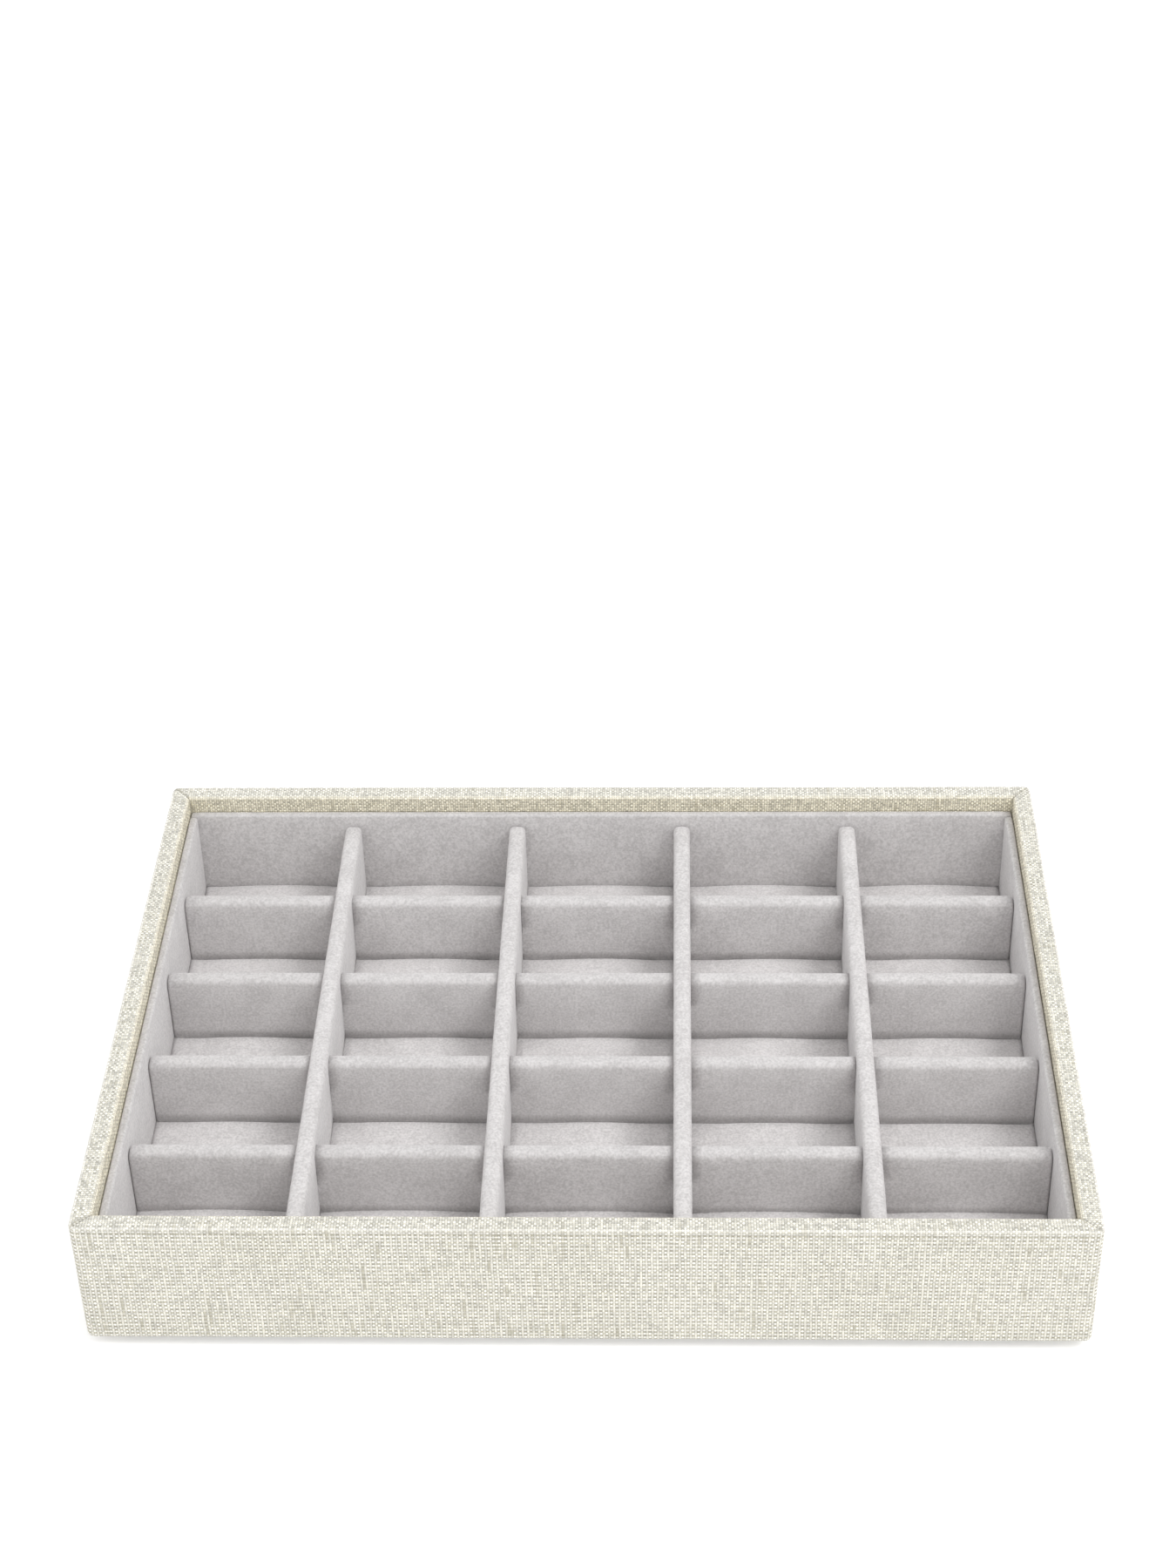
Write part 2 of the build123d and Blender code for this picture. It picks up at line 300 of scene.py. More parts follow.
def makeLinenMaterial():
    material, tree, shader = newMaterial("naturalLinen")
    look = linenCloth
    place = swayed(tree, look, addNode(tree, "ShaderNodeUVMap", uv_map="UVMap").outputs["UV"])
    across, around = addNode(tree, "ShaderNodeSeparateXYZ", {"Vector": place}).outputs[:2]
    upCount = calc(tree, "DIVIDE", across, look["upPitch"])
    roundCount = calc(tree, "DIVIDE", around, look["roundPitch"])
    upWave = calc(tree, "SINE", times(tree, upCount, math.pi))
    roundWave = calc(tree, "SINE", times(tree, roundCount, math.pi))
    upSlub = threadSlubs(tree, look, upCount, around)
    roundSlub = threadSlubs(tree, look, roundCount, across)
    upHeight = threadHeight(tree, look, upWave, roundWave, upSlub, look["crimp"], look["upSwell"])
    roundHeight = threadHeight(tree, look, roundWave, upWave, roundSlub, -look["crimp"], look["roundSwell"])
    height = calc(tree, "MAXIMUM", upHeight, roundHeight)  # the higher thread is the one seen
    upShows = calc(tree, "GREATER_THAN", upHeight, roundHeight)

    # The threads' colours, with the lower rows of thin thread and the rim in painted shade
    rows = readMark(tree, "rows")
    plainly = spread(tree, rows, unit, look["lowRowShare"])
    thin = times(tree, calc(tree, "GREATER_THAN", roundWave, 0.0), plainly)
    thread = mixColour(tree, upShows, look["roundThread"], look["upThread"])
    low = mixColour(tree, upShows, look["lowRow"], look["lowRowUp"])
    thread = mixColour(tree, thin, thread, tint(tree, thread, low))
    # painted shade on the rim and inside it
    thread = mixColour(tree, rows, tint(tree, thread, look["rimPaintedShade"]), thread)

    # Lighter and darker crossings and slubs
    inputs = {"X": calc(tree, "FLOOR", upCount), "Y": calc(tree, "FLOOR", roundCount)}
    crossing = addNode(tree, "ShaderNodeCombineXYZ", inputs).outputs["Vector"]
    inputs = {"Vector": crossing}
    chance = addNode(tree, "ShaderNodeTexWhiteNoise", inputs, noise_dimensions="2D").outputs["Value"]
    unevenness = spread(tree, rows, unit, (look["rimUnevenness"], look["unevenness"]))
    uneven = times(tree, spread(tree, chance, unit, (-1.0, 1.0)), unevenness)
    bothSlubs = calc(tree, "ADD", upSlub, roundSlub)
    shade = calc(tree, "ADD", spread(tree, bothSlubs, look["bothSlubs"], look["slubShade"]), uneven)
    grey = addNode(tree, "ShaderNodeCombineColor", {"Red": shade, "Green": shade, "Blue": shade})
    thread = tint(tree, thread, grey.outputs["Color"])
    slubSeen = mixValue(tree, upShows, roundSlub, upSlub)
    fleck = spread(tree, slubSeen, look["fleckSpan"], look["fleckShare"])
    thread = mixColour(tree, fleck, thread, look["fleck"])

    # Gaps with painted shade in them, folds with a painted highlight, the band inside the rim with painted
    # shade and painted light, seams with painted shade, and a yellower cast
    inside, fold, seamAndShade = (readMark(tree, name) for name in ("inside", "fold", "seamAndShade"))
    # painted shade inside the rim: more of the gap's colour shows there
    deep = spread(tree, calc(tree, "MULTIPLY_ADD", inside, -look["insideDrop"], height), look["gapSpan"])
    filled = calc(tree, "MAXIMUM", deep, times(tree, fold, look["foldFill"]))
    cloth = mixColour(tree, filled, look["gap"], thread)
    # a painted highlight along the folds
    cloth = mixColour(tree, times(tree, fold, look["paintedFoldHighlight"]), cloth, look["upThread"])
    # painted light: the band inside the rim is tinted lighter
    cloth = mixColour(tree, inside, cloth, tint(tree, cloth, look["inside"]))
    cloth = mixColour(tree, times(tree, seamAndShade, look["seamShade"]), cloth, look["gap"])
    clouds = addNoise(tree, objectPlace(tree), look["castScale"], look["castDetail"])["Fac"]
    cast = mixColour(tree, spread(tree, clouds, look["castSpan"]), look["cast"], white)
    cloth = tint(tree, cloth, cast, look["castShare"])
    dress(tree, shader, look, cloth, spread(tree, height, unit, look["roughness"]), height)
    return material


# Velvet: a short cut pile

velvetPile = {
    "light": (0.70, 0.681, 0.679, 1),
    "dark": (0.52, 0.503, 0.501, 1),
    "grain": 1500.0,  # specks in a metre
    "grainDetail": 1.0,
    "tuft": 0.45,  # tufts for each speck, along a line
    "tuftDetail": 2.0,
    "grainRoughness": 0.6,
    "speckShare": 0.7,  # of the specks, and the rest of the tufts
    "lay": 110.0,  # patches in a metre where the pile leans another way
    "layDetail": 3.0,
    "layRoughness": 0.55,
    "laySpan": (0.3, 0.7),
    "grainShare": 0.75,  # of the grain, and the rest of the lay
    "toneSpan": (0.38, 0.62),
    "paintedFlatLift": 0.13,  # painted light: how much lighter the pile is painted on the pad, and a share of it is painted shade on a sleeve's top
    "roughness": (0.85, 1.0),
    "gloss": 0.08,
    "sheen": 0.35,
    "sheenWidth": 0.5,
    "bump": 0.00012,
    "bumpShare": 0.55,
}


def makeVelvetMaterial():
    material, tree, shader = newMaterial("paleGreyVelvet")
    look = velvetPile
    place = objectPlace(tree)
    grainScale, tuftScale = look["grain"], look["grain"] * look["tuft"]
    speck = addNoise(tree, place, grainScale, look["grainDetail"], look["grainRoughness"])["Fac"]
    tuft = addNoise(tree, place, tuftScale, look["tuftDetail"], look["grainRoughness"])["Fac"]
    lay = addNoise(tree, place, look["lay"], look["layDetail"], look["layRoughness"])["Fac"]
    grain = weigh(tree, speck, tuft, look["speckShare"])
    tone = spread(tree, weigh(tree, grain, lay, look["grainShare"]), look["toneSpan"])
    # painted light on the pad and painted shade on the dividers' tops
    lift = calc(tree, "MULTIPLY_ADD", readMark(tree, "paintedLightAndShade"), look["paintedFlatLift"], 1.0)
    inputs = {"Value": lift, "Color": mixColour(tree, tone, look["dark"], look["light"])}
    colour = addNode(tree, "ShaderNodeHueSaturation", inputs).outputs["Color"]
    dress(tree, shader, look, colour, spread(tree, lay, look["laySpan"], look["roughness"]), grain)
    return material


# Hidden boards, cards and foam

fibreBoard = {"light": (0.42, 0.31, 0.20, 1), "dark": (0.27, 0.19, 0.12, 1), "fibre": 900.0, "fleck": 160.0}
liningCard = {"light": (0.50, 0.49, 0.46, 1), "dark": (0.36, 0.35, 0.33, 1), "fibre": 1600.0, "fleck": 260.0}
padFoam = {"light": (0.86, 0.85, 0.78, 1), "dark": (0.66, 0.64, 0.55, 1), "fibre": 2600.0, "fleck": 500.0}
pressedStuff = {
    "stretch": (0.4, 1.0, 1.0),  # fibres are longer one way
    "fibreDetail": 3.0,
    "fibreRoughness": 0.65,
    "fibreSpan": (0.3, 0.7),
    "fleckDetail": 4.0,
    "fleckRoughness": 0.6,
    "fibreShare": 0.6,  # of the fibres, and the rest of the flecks
    "toneSpan": (0.35, 0.65),
    "roughness": (0.75, 0.95),
    "gloss": 0.25,
    "sheen": 0.0,
    "sheenWidth": 0.5,
    "bump": 0.00015,
    "bumpShare": 0.5,
}


def makePressedMaterial(name, own):  # pressed fibres, or the cells of a foam: two noises, fine and coarse
    material, tree, shader = newMaterial(name)
    look = dict(pressedStuff, **own)
    place = objectPlace(tree)
    inputs = {"Vector": place, "Scale": look["stretch"]}
    stretched = addNode(tree, "ShaderNodeMapping", inputs).outputs["Vector"]
    fibre = addNoise(tree, stretched, look["fibre"], look["fibreDetail"], look["fibreRoughness"])["Fac"]
    fleck = addNoise(tree, place, look["fleck"], look["fleckDetail"], look["fleckRoughness"])["Fac"]
    tone = weigh(tree, fibre, fleck, look["fibreShare"])
    colour = mixColour(tree, spread(tree, tone, look["toneSpan"]), look["dark"], look["light"])
    dress(tree, shader, look, colour, spread(tree, fibre, look["fibreSpan"], look["roughness"]), tone)
    return material


linenMaterial = makeLinenMaterial()
velvetMaterial = makeVelvetMaterial()
boardMaterial = makePressedMaterial("fibreBoard", fibreBoard)
cardMaterial = makePressedMaterial("liningCard", liningCard)
foamMaterial = makePressedMaterial("padFoam", padFoam)
for node in cadNodes.values():
    node.data.materials.clear()
    node.data.materials.append(boardMaterial if node.name.endswith("board") else cardMaterial)
print("Tray: linen, velvet, board, card and foam materials are made")


# The linen wrap

linenWrap = {
    "thickness": 0.00055,
    "uprightRadius": 0.0019,  # outer corners, seen from above
    "innerCornerRadius": 0.0003,  # the tightest that the cloth turns in the rim's inner corners
    "rimFold": 0.0007,
    "innerFold": 0.0010,
    "bottomFold": 0.0008,
    "turnIn": 0.0149,
    "turnUnder": 0.0139,
    "creaseHeight": 0.00012,  # the pressed fold along the rim's outer edge stands this proud
    "creaseDepth": 0.00008,  # and a shallow groove runs round under it
    "creaseBelow": 0.00075,
    "creaseWidth": 0.00028,
    # painted shade in the groove under the crease
    "creaseShade": 0.35,
    "creaseLines": (-2.2, -1.4, -0.7, 0.0, 0.7, 1.4),  # lines across the groove, in its widths
    "innerFoldLight": 0.8,  # as a share of the outer fold's, which closes the gaps and gets a painted highlight
    "seamDepth": 0.00018,
    "seamWidth": 0.00028,
    "seamShade": (0.65, 0.35),  # everywhere, where it is a dark joint, and what the band inside the rim adds as painted shade in its corners
    "seamFrom": 0.3,  # the seam shows from here on in, as a share of the rim's fold
    "seamDrop": 0.0005,  # and is pressed in down to here below the rim
    "softness": 0.00004,
    "softLength": 0.02,
    "softSeed": 11,
    "step": 0.0035,
    "endLines": (0.0, 0.0002, 0.0004, 0.0007, 0.0012, 0.0022),  # lines near a corner, at these distances
    "hemLines": 5,
    "sideLines": 12,
    "flatLines": 9,
    "downLines": 7,
    "rimFoldSteps": 8,
    "foldSteps": 6,
}


def linenProfile():
    # The wrap's section, as insets from the outside and heights. The outer skin runs from the hem under the
    # base out and up the outside, over the rim and down inside it, and the inner skin runs back at the
    # cloth's thickness. Then come the length along the section and its marks.
    look = linenWrap
    base, top, gauge = linenLow[2], rimHeight, look["thickness"]
    low, outer, inner = look["bottomFold"], look["rimFold"], look["innerFold"]
    hem = np.linspace(look["turnUnder"], low, look["hemLines"])[:-1]
    bottom = arc(-90, -180, look["foldSteps"])
    groove = top - outer - look["creaseBelow"]
    near = groove + look["creaseWidth"] * np.array(look["creaseLines"])
    side = np.concatenate([np.linspace(base + low, near[0], look["sideLines"])[1:-1], near])
    dip = look["creaseDepth"] * np.exp(-((side - groove) / look["creaseWidth"]) ** 2)
    over = arc(180, 90, look["rimFoldSteps"])
    proud = outer + look["creaseHeight"] * np.sin(2 * (math.pi - over))
    flat = np.linspace(outer, rimBreadth - inner, look["flatLines"])[1:-1]
    back = arc(90, 0, look["foldSteps"])
    down = np.linspace(top - inner, top - look["turnIn"], look["downLines"])[1:]
    stretches = [  # inset, height, and how much of a fold, of painted shade in the crease's groove, inside the rim and in rows of thin thread
        (hem, base, 0, 0, 0, 1),
        (low + low * np.cos(bottom), base + low + low * np.sin(bottom), 0, 0, 0, 1),
        (dip, side, 0, look["creaseShade"] * dip / look["creaseDepth"], 0, 1),
        (outer + proud * np.cos(over), top - outer + proud * np.sin(over),
         np.sin(2 * (math.pi - over)), 0, 0, np.cos(math.pi - over)),
        (flat, top, 0, 0, 0, 0),
        (rimBreadth - inner + inner * np.cos(back), top - inner + inner * np.sin(back),
         look["innerFoldLight"] * np.sin(2 * back), 0, np.cos(back), 0),
        (rimBreadth, down, 0, 0, 1, 0),
    ]
    stretches = [np.stack(np.broadcast_arrays(*stretch)) for stretch in stretches]
    insets, heights, *marks = np.concatenate(stretches, axis=1)
    along = np.concatenate([[0], np.cumsum(np.hypot(np.diff(insets), np.diff(heights)))])
    turn = np.stack([np.gradient(insets, along), np.gradient(heights, along)])
    turn /= np.linalg.norm(turn, axis=0)
    skin = np.stack([insets, heights])
    lining = skin + gauge * np.stack([turn[1], -turn[0]])  # a quarter turn from its course, into the board
    lining[0] = np.clip(lining[0], gauge, rimBreadth - gauge)
    lining[0, 0] = insets[0]
    lining[1, -1] = heights[-1]
    loop = np.concatenate([skin, lining[:, ::-1]], axis=1)
    marks = [np.concatenate([values, values[::-1]]) for values in (along, *marks)]
    return *loop, *marks


def makeLinenWrap():
    # Each point lies on a rectangle that is smaller than the outside by its inset and has rounded corners,
    # whose radius shrinks by the inset too. Each side runs from the middle of one corner to the middle of the
    # next, and its cloth keeps the threads square to that side, so they meet at a mitre on the rim.
    look = linenWrap
    # dark is the painted shade in the crease's groove
    insets, heights, along, fold, dark, inside, rows = linenProfile()
    radius = np.maximum(look["uprightRadius"] - insets, look["innerCornerRadius"])
    halfSize = (linenHigh - linenLow)[:2] / 2
    onRim = np.clip((heights - (rimHeight - look["turnIn"])) / look["turnIn"], 0, 1)
    onRim *= insets > look["rimFold"] * look["seamFrom"]
    pressed = (insets > look["rimFold"]) * (heights > rimHeight - look["seamDrop"])
    steps = look["foldSteps"]
    points, quads, corners, marks = [], [], [], []
    count, centre = 0, 0.0
    for side in range(4):
        sideHalf, outHalf = halfSize[side % 2], halfSize[(side + 1) % 2]
        fine = 1 - np.array(look["endLines"]) / sideHalf
        middle = np.linspace(-fine[-1], fine[-1], int(2 * sideHalf / look["step"]))
        share = np.concatenate([-np.ones(steps), -fine[:-1], middle, fine[:-1][::-1], np.ones(steps)])
        share = share[:, None]
        bend = np.zeros_like(share)
        bend[:steps, 0], bend[-steps:, 0] = arc(-45, 0, steps)[:-1], arc(0, 45, steps)[1:]
        straight = sideHalf - insets - radius
        level = share * straight + radius * np.sin(bend)
        out = outHalf - insets - radius + radius * np.cos(bend)
        angle = math.radians(90 * side - 90)
        x = out * math.cos(angle) - level * math.sin(angle)
        y = out * math.sin(angle) + level * math.cos(angle)
        fromSeam = (1 - np.abs(share)) * straight + radius * (math.pi / 4 - np.abs(bend))
        groove = np.exp(-(fromSeam / look["seamWidth"]) ** 2) * onRim
        z = heights - look["seamDepth"] * groove * pressed
        coords = np.stack(np.broadcast_arrays(centre + share * straight + radius * bend, along), axis=-1)
        faces = gridQuads(*x.shape, closed=True)
        points.append(np.stack([x, y, z], axis=-1).reshape(-1, 3))
        quads.append(faces + count)
        corners.append(coords.reshape(-1, 2)[faces])
        # a dark joint at the seams, with painted shade in the inner corners and in the crease's groove
        seamAndShade = np.maximum(groove * (look["seamShade"][0] + look["seamShade"][1] * inside), dark)
        marks.append(np.stack(np.broadcast_arrays(seamAndShade, fold * (1 - groove), inside, rows)).reshape(4, -1))
        count += x.size
        # The corner between two sides is as long as its arc, and not as two of its radii
        centre += sideHalf + outHalf + look["uprightRadius"] * (math.pi / 2 - 2)
    points, quads, corners = (np.concatenate(parts) for parts in (points, quads, corners))
    soft = ripple(points, look["softness"], look["softLength"], look["softSeed"])
    points[:, :2] -= np.sign(points[:, :2]) * np.abs(soft)[:, None]
    marks = dict(zip(("seamAndShade", "fold", "inside", "rows"), np.concatenate(marks, axis=1)))
    wrap = makeMesh("linenWrap", points, quads[:, ::-1], corners[:, ::-1], ["linen_wrap"],
                    linenMaterial, marks)


makeLinenWrap()
print("Tray: the linen wrap is made")


# Velvet sleeves over the liner and divider cards

velvetSleeve = {
    "thickness": 0.0005,
    "edgeRadius": 0.0015,
    "crown": 0.00008,
    "pile": 0.00025,  # fills the gap at each end
    "softness": 0.00006,
    "softLength": 0.012,
    "softFrom": 0.0005,  # the rippling comes in over this distance from the middle
    "step": 0.003,
    "closing": (0.0, 0.5, 1.0),  # how the flat ends close to a line, as shares of the thickness
    "endSteps": 6,
    "edgeSteps": 5,
}
# endRound is seen from above, endRadius from the side, and the top's painted shade is a share of the velvet's
# painted lift on the pad
linerSleeve = dict(velvetSleeve, endRound=0.0006, endRadius=0.0012, edgeRadius=0.0007, crown=0.0, pile=0.0,
                   softness=0.00003, paintedTopShade=0.8, seed=21)
columnSleeve = dict(velvetSleeve, endRound=0.0013, endRadius=0.0020, paintedTopShade=0.5, seed=30)
rowSleeve = dict(velvetSleeve, endRound=0.0009, endRadius=0.0014, paintedTopShade=0.8, seed=40)

slack = 0.00005  # on each side of a half-lap slot
slotHalf = dividerThickness / 2 + slack
lapHeight = (columnLow[2] + rowHigh[2]) / 2


def sleeveStations(look, length, half, slots):
    # Stations along the sleeve, with their distance from the nearer end and the half thickness there, which
    # follows a quarter circle at each end and then closes to a line. Both walls of a slot are stations.
    reach = length / 2 + look["pile"]
    endRound, closing = look["endRound"], np.array(look["closing"])
    rounding = endRound * (1 - np.cos(arc(0, 90, look["endSteps"])))[1:]
    ends = np.concatenate([0 * closing, rounding])
    inner = reach - ends[-1]
    walls = [place + side * slotHalf for place in slots for side in (-1, 1)]
    stops = np.unique([-inner, inner, *walls])
    middle = [np.linspace(start, end, max(2, int((end - start) / look["step"]) + 1))[1:]
              for start, end in zip(stops[:-1], stops[1:])]
    middle = np.concatenate(middle)[:-1]
    station = np.concatenate([ends - reach, middle, (reach - ends)[::-1]])
    closed = np.ones(len(station))
    closed[:len(closing)], closed[-len(closing):] = closing, closing[::-1]
    fromEnd = reach - np.abs(station)
    inRound = np.clip(endRound - fromEnd, 0, endRound)
    return station, fromEnd, (half - endRound + np.sqrt(endRound**2 - inRound**2)) * closed


def sleeveSection(look, bottom, top, lap, half, width, fromEnd):
    # Half of the section at each station: up one side, round the edge and over the top to the middle. The
    # top follows a quarter circle of the end radius, and its crown falls off as the square of the distance
    # from the middle. A row of points lies at the lap, where the slots end.
    endRadius = look["endRadius"]
    inCorner = np.clip(endRadius - fromEnd, 0, endRadius)
    topHere = top - endRadius + np.sqrt(np.maximum(endRadius**2 - inCorner**2, 0)) - bottom
    edge = np.minimum(look["edgeRadius"], width)
    crown = look["crown"] * (width - edge) / (half - look["edgeRadius"])
    shoulder = topHere - edge
    sideRows = max(2, int((top - bottom) / look["step"] / 2))
    climb = np.linspace(0, 1, sideRows + 1)[:, None]
    lower = climb * np.minimum(lap, shoulder)
    upper = np.minimum(lap, shoulder) + climb[1:] * np.maximum(shoulder - lap, 0)
    turn = arc(0, 90, look["edgeSteps"])[1:, None]
    flatRows = max(2, int(half / look["step"]))
    inward = np.linspace(1, 0, flatRows + 1)[1:, None]
    across = np.concatenate([width + 0 * lower, width + 0 * upper, width - edge + edge * np.cos(turn),
                             (width - edge) * inward])
    up = np.concatenate([lower, upper, shoulder + edge * np.sin(turn), topHere + crown * (1 - inward**2)])
    risen = np.clip((up - topHere + edge) / np.maximum(edge, hair), 0, 1)
    return across, up, risen, sideRows


def makeSleeve(name, look, node, turned=False, slots=(), lap=None, slotsBelow=False):
    # An inverted U carried along the length of the node that it replaces. Its slots are left out of the grid,
    # and the skin then gets its thickness.
    low, high, place = sizeOf(node)
    size = high - low
    length, thickness = (size[1], size[0]) if turned else (size[0], size[1])
    bottom, top, half = low[2], high[2], thickness / 2
    lap = (bottom + (top - bottom) / 2 if lap is None else lap) - bottom
    station, fromEnd, width = sleeveStations(look, length, half, slots)
    across, up, risen, sideRows = sleeveSection(look, bottom, top, lap, half, width, fromEnd)
    across = np.concatenate([-across, across[-2::-1]])
    up, risen = (np.concatenate([values, values[-2::-1]]) for values in (up, risen))
    rows, columns = up.shape
    points = np.stack([np.broadcast_to(station, up.shape), across, bottom + up], axis=-1)
    run = np.zeros(up.shape)
    run[1:] = np.cumsum(np.linalg.norm(np.diff(points, axis=0), axis=-1), axis=0)
    coords = np.stack([np.broadcast_to(station, run.shape), run], axis=-1)
    soft = ripple(points + [0, place[0] + place[1], 0], look["softness"], look["softLength"], look["seed"])
    points[..., 1] -= np.clip(points[..., 1] / look["softFrom"], -1, 1) * np.abs(soft)

    quads = gridQuads(rows, columns)
    cellRow, cellColumn = np.divmod(np.arange(len(quads)), columns - 1)
    cellMiddle = (station[cellColumn] + station[cellColumn + 1]) / 2
    overLap = (cellRow >= sideRows) & (cellRow < rows - 1 - sideRows)
    slotted = ~overLap if slotsBelow else overLap
    keep = np.ones(len(quads), bool)
    for slot in slots:
        keep &= ~((np.abs(cellMiddle - slot) < slotHalf) & slotted)
    quads = quads[keep]
    if turned:
        points = np.stack([-points[..., 1], points[..., 0], points[..., 2]], axis=-1)
    points = points + [place[0], place[1], 0]
    # the sleeve's top edge gets painted shade
    piece = makeMesh(name, points, quads, coords.reshape(-1, 2)[quads], [node], velvetMaterial,
                     {"paintedLightAndShade": -look["paintedTopShade"] * risen})
    thicken(piece, look["thickness"])


for side in ("front", "back", "left", "right"):
    makeSleeve(f"{side}LinerVelvet", linerSleeve, f"{side}_liner_velvet", turned=side in ("left", "right"))
for index, node in enumerate(columnNames):
    look = dict(columnSleeve, seed=columnSleeve["seed"] + index)
    makeSleeve(f"columnDividerVelvet{index + 1}", look, node, turned=True, slots=rowPlaces,
               lap=lapHeight + slack, slotsBelow=True)
for index, node in enumerate(rowNames):
    look = dict(rowSleeve, seed=rowSleeve["seed"] + index)
    makeSleeve(f"rowDividerVelvet{index + 1}", look, node, slots=columnPlaces, lap=lapHeight)
print("Tray: the velvet sleeves are made")


# Velvet over the raised panel under the tray

panelVelvet = {
    "thickness": 0.0005,
    "cornerRadius": 0.0022,
    "innerRadius": 0.0003,  # the smallest that the rings' corners get
    "edgeRadius": 0.0012,
    "edgeTop": 0.6,  # the second ring's height, as a share of the panel's
    "softness": 0.00004,
    "softLength": 0.02,
    "softSeed": 24,
    "rings": 21,
    "edgeSteps": 6,
    "cornerSteps": 5,
}


def makePanelVelvet():
    # Rings of a rounded rectangle, each smaller than the one before by its inset: down the panel's edge,
    # round a quarter circle and in under it, to a line in the middle.
    look = panelVelvet
    low, high, _ = sizeOf("stacking_base_velvet")
    half, height = (high - low)[:2] / 2, high[2] - low[2]
    fold = arc(0, 90, look["edgeSteps"])
    under = np.linspace(0, half[1], look["rings"] + 1)[1:]
    insets = np.concatenate([[0, 0], look["edgeRadius"] * (1 - np.cos(fold)), under])[:, None]
    heights = np.concatenate([[height, look["edgeTop"] * height], look["edgeRadius"] * (1 - np.sin(fold)),
                              0 * under])[:, None]
    turn = np.concatenate([arc(start, start + 90, look["cornerSteps"]) for start in (0, 90, 180, 270)])
    radius = np.minimum(np.maximum(look["cornerRadius"] - insets, look["innerRadius"]), half[1] - insets)
    middle = turn - np.tile(arc(-45, 45, look["cornerSteps"]), 4)  # the middle angle of each point's corner
    x = np.sign(np.cos(middle)) * (half[0] - insets - radius) + radius * np.cos(turn)
    y = np.sign(np.sin(middle)) * (half[1] - insets - radius) + radius * np.sin(turn)
    points = np.stack([x, y, low[2] + heights + 0 * x], axis=-1)
    soft = ripple(points, look["softness"], look["softLength"], look["softSeed"])
    points[..., 2] += np.abs(soft) * (heights < hair)
    quads = gridQuads(*x.shape, closed=True)[:, ::-1]
    coords = points[..., :2].reshape(-1, 2)[quads]
    piece = makeMesh("stackingPanelVelvet", points, quads, coords, ["stacking_base_velvet"],
                     velvetMaterial)
    thicken(piece, look["thickness"])


makePanelVelvet()
print("Tray: the panel's velvet is made")


# The floor pad: foam pillows under one sheet of velvet

floorPad = {
    "thickness": 0.0005,
    "gap": 0.00005,  # from a pillow's edge to the dividers round it, and from the velvet to the foam
    "pile": 0.00025,  # fills the gap round the pad
    "shoulder": 0.0016,  # how far in from its edge a pillow is still rising
    "step": 0.45,  # the share of a pillow's rise that it makes at once
    "crown": 0.0013,
    "softness": 0.00008,
    "softLength": 0.018,
    "softSeed": 51,
    "velvetFill": 0.7,
    "foamFill": 0.9,
    "across": 20,
    "along": 14,
    "crowding": 0.5,  # how far its lines crowd towards a pillow's edges, from 0 to 1
}


def padLines(places, low, high, count):
    # the grid's lines one way: the pillows' own lines and, between two pillows, the middle of the valley
    half = dividerThickness / 2 + floorPad["gap"]
    starts = np.concatenate([[low], np.sort(places) + half])
    ends = np.concatenate([np.sort(places) - half, [high]])
    even = np.linspace(0, 1, count + 1)
    crowded = (1 - np.cos(np.linspace(0, math.pi, count + 1))) / 2
    share = floorPad["crowding"] * crowded + (1 - floorPad["crowding"]) * even
    lines = [np.append(start + (end - start) * share, end + half) for start, end in zip(starts, ends)]
    return np.concatenate(lines)[:-1], starts, ends


def pillowShare(line, starts, ends):
    # how far a line lies across its pillow, from -1 to 1, and half of that pillow's size
    middle, half = (starts + ends) / 2, (ends - starts) / 2
    nearest = np.abs(line[:, None] - middle).argmin(axis=1)
    return (line - middle[nearest]) / half[nearest], half[nearest]


def shoulder(share, half):  # a quarter circle up from a pillow's edge, and 0 in the valleys
    inside = np.clip((1 - np.abs(share)) * half / floorPad["shoulder"], 0, 1)
    return np.sqrt(1 - (1 - inside) ** 2) * (np.abs(share) < 1 + hair)


def padSurface(sink):
    # Height is the valley's, plus a rise that comes in over the shoulder at each edge, plus a crown that
    # falls off as the square of the distance from the pillow's middle, each way.
    look = floorPad
    low, high, _ = sizeOf("floor_velvet")
    low, high = low - [look["pile"], look["pile"], 0], high + [look["pile"], look["pile"], 0]
    valley = columnLow[2]
    rise = high[2] - valley - look["crown"]
    x, xStarts, xEnds = padLines(columnPlaces, low[0] + sink, high[0] - sink, look["across"])
    y, yStarts, yEnds = padLines(rowPlaces, low[1] + sink, high[1] - sink, look["along"])
    xShare, xHalf = pillowShare(x, xStarts, xEnds)
    yShare, yHalf = pillowShare(y, yStarts, yEnds)
    edge = np.minimum(shoulder(xShare, xHalf)[:, None], shoulder(yShare, yHalf)[None, :])
    across, along = np.minimum(np.abs(xShare), 1)[:, None], np.minimum(np.abs(yShare), 1)[None, :]
    weight = xHalf.mean() ** 2 / (xHalf.mean() ** 2 + yHalf.mean() ** 2)
    crown = look["crown"] * (1 - weight * across**2 - (1 - weight) * along**2)
    height = valley - sink + (1 - look["step"]) * rise * edge + (look["step"] * rise + crown) * (edge > 0)
    return np.stack(np.broadcast_arrays(x[:, None], y[None, :], height), axis=-1), low


def skirted(grid, level):  # the grid with one more point all round, straight down at a level
    padded = np.pad(grid, ((1, 1), (1, 1), (0, 0)), mode="edge")
    padded[[0, -1], :, 2] = level
    padded[:, [0, -1], 2] = level
    return padded


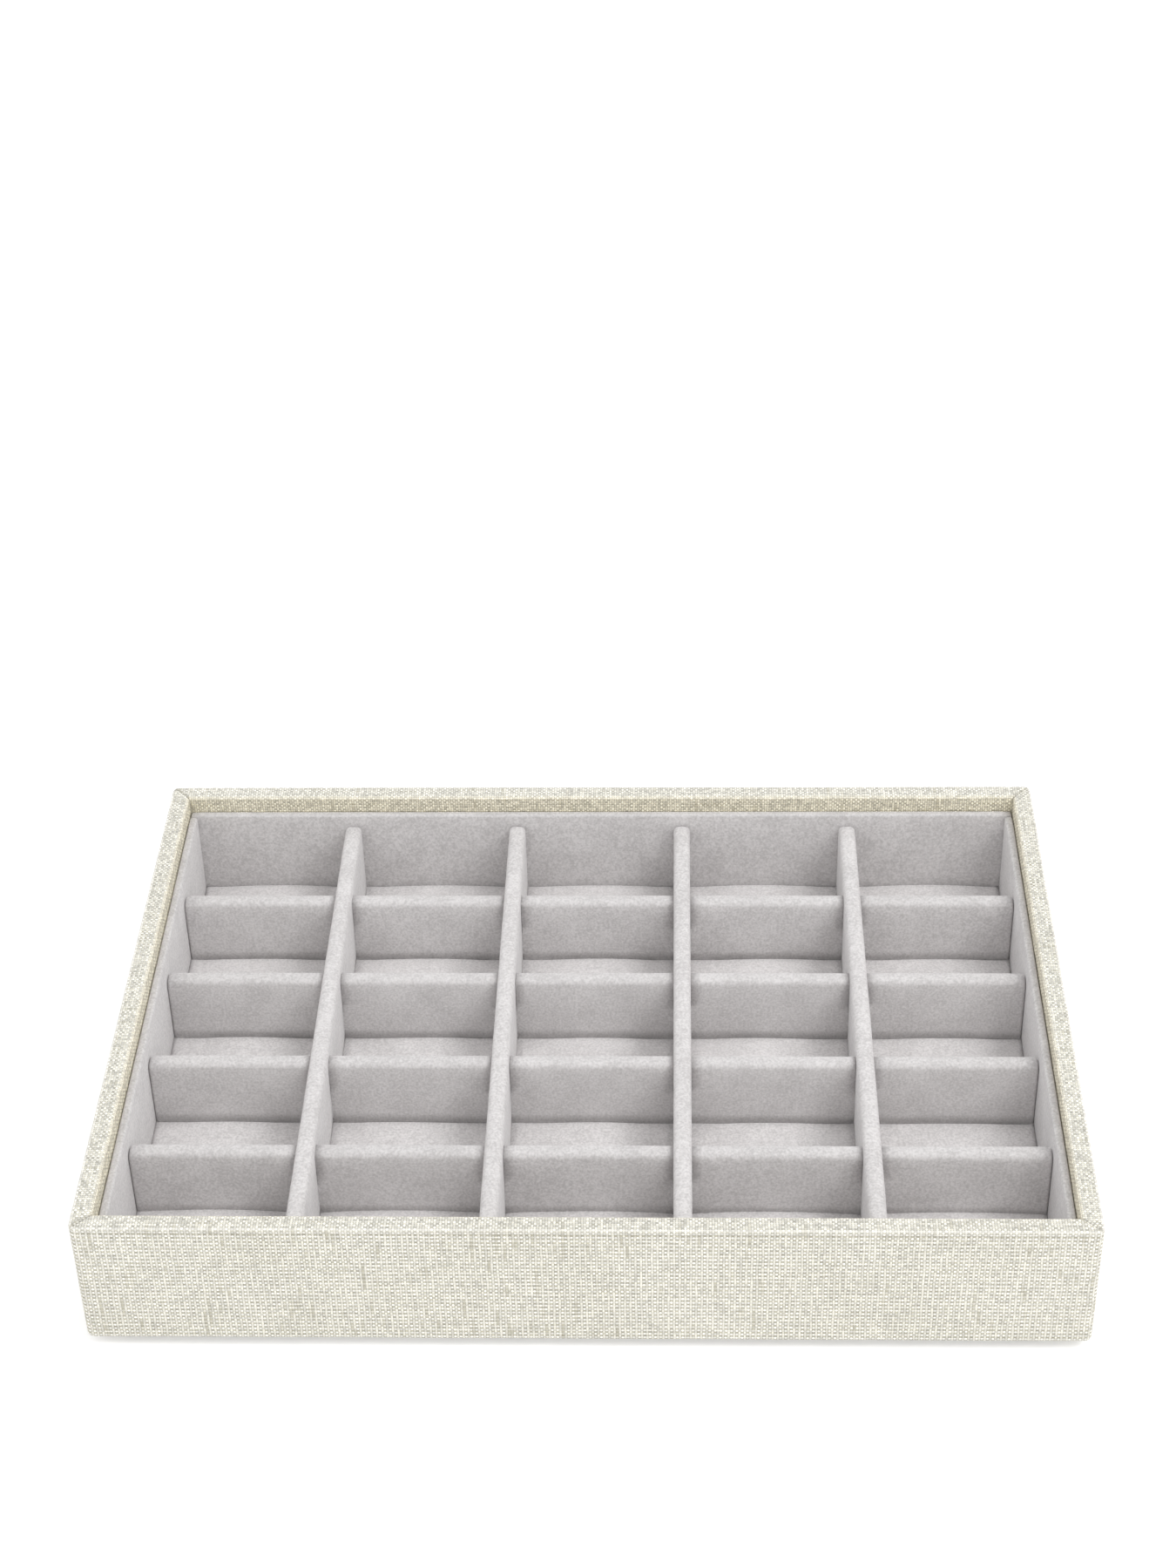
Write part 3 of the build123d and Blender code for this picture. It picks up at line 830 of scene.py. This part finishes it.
def makeFloorVelvet():
    look = floorPad
    grid, low = padSurface(0.0)
    soft = ripple(grid, look["softness"], look["softLength"], look["softSeed"])
    grid[..., 2] += soft * (grid[..., 2] > columnLow[2] + hair)
    points = skirted(grid, low[2])
    quads = gridQuads(*points.shape[:2])[:, ::-1]
    coords = points[..., :2].reshape(-1, 2)[quads]
    # the pad gets painted light
    piece = makeMesh("floorVelvet", points, quads, coords, ["floor_velvet"], velvetMaterial,
                     {"paintedLightAndShade": np.ones(points.shape[:2])})
    thicken(piece, look["thickness"])


def makeFloorFoam():
    look = floorPad
    level = sizeOf("floor_foam")[0][2]
    over = skirted(padSurface(look["thickness"] + look["gap"])[0], level)
    under = over.copy()
    under[..., 2] = level
    top = gridQuads(*over.shape[:2])[:, ::-1]
    points = np.concatenate([over.reshape(-1, 3), under.reshape(-1, 3)])
    quads = np.concatenate([top, top[:, ::-1] + len(points) // 2])
    piece = makeMesh("floorFoam", points, quads, points[quads][..., :2], ["floor_foam"],
                     foamMaterial)


makeFloorVelvet()
makeFloorFoam()
print("Tray: the floor pad is made")


# White table, white room and soft lamps

studio = {
    "tableReach": 6.0,
    "tableLevel": -0.0001,  # a hair under the panel, so that the two faces don't flicker
    "tableColour": (0.9, 0.9, 0.9, 1),
    "tableRoughness": 0.9,
    "tableGlow": 0.26,
    "roomStrength": 0.96,
    "lamps": [
        {"name": "keyLamp", "at": (0.9, -0.5, 1.5), "size": 0.9, "power": 12.5},
        {"name": "fillLamp", "at": (-1.2, -0.9, 1.3), "size": 1.2, "power": 3.0},
    ],
}
photoCamera = {
    "lens": 64.447,  # in millimetres, as the sensor
    "sensor": 36.0,
    "at": (0.022964, -0.56935, 0.527579),
    "turn": (53.641, 1.156, 1.436),
}


def seenRays(tree):  # 1 for rays that show the surface itself, and 0 for those that it lights
    rays = addNode(tree, "ShaderNodeLightPath").outputs
    mirrored = calc(tree, "MAXIMUM", rays["Is Glossy Ray"], rays["Is Transmission Ray"])
    return calc(tree, "MAXIMUM", rays["Is Camera Ray"], mirrored)


def makeTable():
    reach = studio["tableReach"]
    mesh = bpy.data.meshes.new("whiteTable")
    corners = [(x * reach, y * reach, studio["tableLevel"]) for x, y in ((-1, -1), (1, -1), (1, 1), (-1, 1))]
    mesh.from_pydata(corners, [], [(0, 1, 2, 3)])
    table = bpy.data.objects.new("whiteTable", mesh)
    bpy.context.scene.collection.objects.link(table)
    material, tree, shader = newMaterial("whiteTable")
    shader.inputs["Base Color"].default_value = studio["tableColour"]
    shader.inputs["Roughness"].default_value = studio["tableRoughness"]
    shader.inputs["Specular IOR Level"].default_value = 0.0
    shader.inputs["Emission Color"].default_value = white
    tree.links.new(times(tree, seenRays(tree), studio["tableGlow"]), shader.inputs["Emission Strength"])
    mesh.materials.append(material)


def makeRoom():
    room = bpy.data.worlds.new("whiteRoom")
    bpy.context.scene.world = room
    room.use_nodes = True
    tree = room.node_tree
    back = tree.nodes["Background"]
    back.inputs["Color"].default_value = white
    strength = spread(tree, seenRays(tree), unit, (studio["roomStrength"], 1.0))
    tree.links.new(strength, back.inputs["Strength"])


def makeLamp(look):
    light = bpy.data.lights.new(look["name"], "AREA")
    light.shape = "DISK"
    light.size = look["size"]
    light.energy = look["power"]
    lamp = bpy.data.objects.new(look["name"], light)
    lamp.location = look["at"]
    aim = -np.array(look["at"])
    tilt = math.acos(-aim[2] / np.linalg.norm(aim))
    lamp.rotation_euler = (tilt, 0, math.atan2(aim[1], aim[0]) - math.pi / 2)
    bpy.context.scene.collection.objects.link(lamp)


def makeCamera():
    lens = bpy.data.cameras.new("photoCamera")
    lens.lens = photoCamera["lens"]
    lens.sensor_width = photoCamera["sensor"]
    camera = bpy.data.objects.new("photoCamera", lens)
    camera.location = photoCamera["at"]
    camera.rotation_euler = [math.radians(angle) for angle in photoCamera["turn"]]
    bpy.context.scene.collection.objects.link(camera)
    bpy.context.scene.camera = camera


makeTable()
makeRoom()
for lamp in studio["lamps"]:
    makeLamp(lamp)
makeCamera()
bpy.context.scene.view_settings.view_transform = "Standard"
print("Tray: the studio and the camera are set")
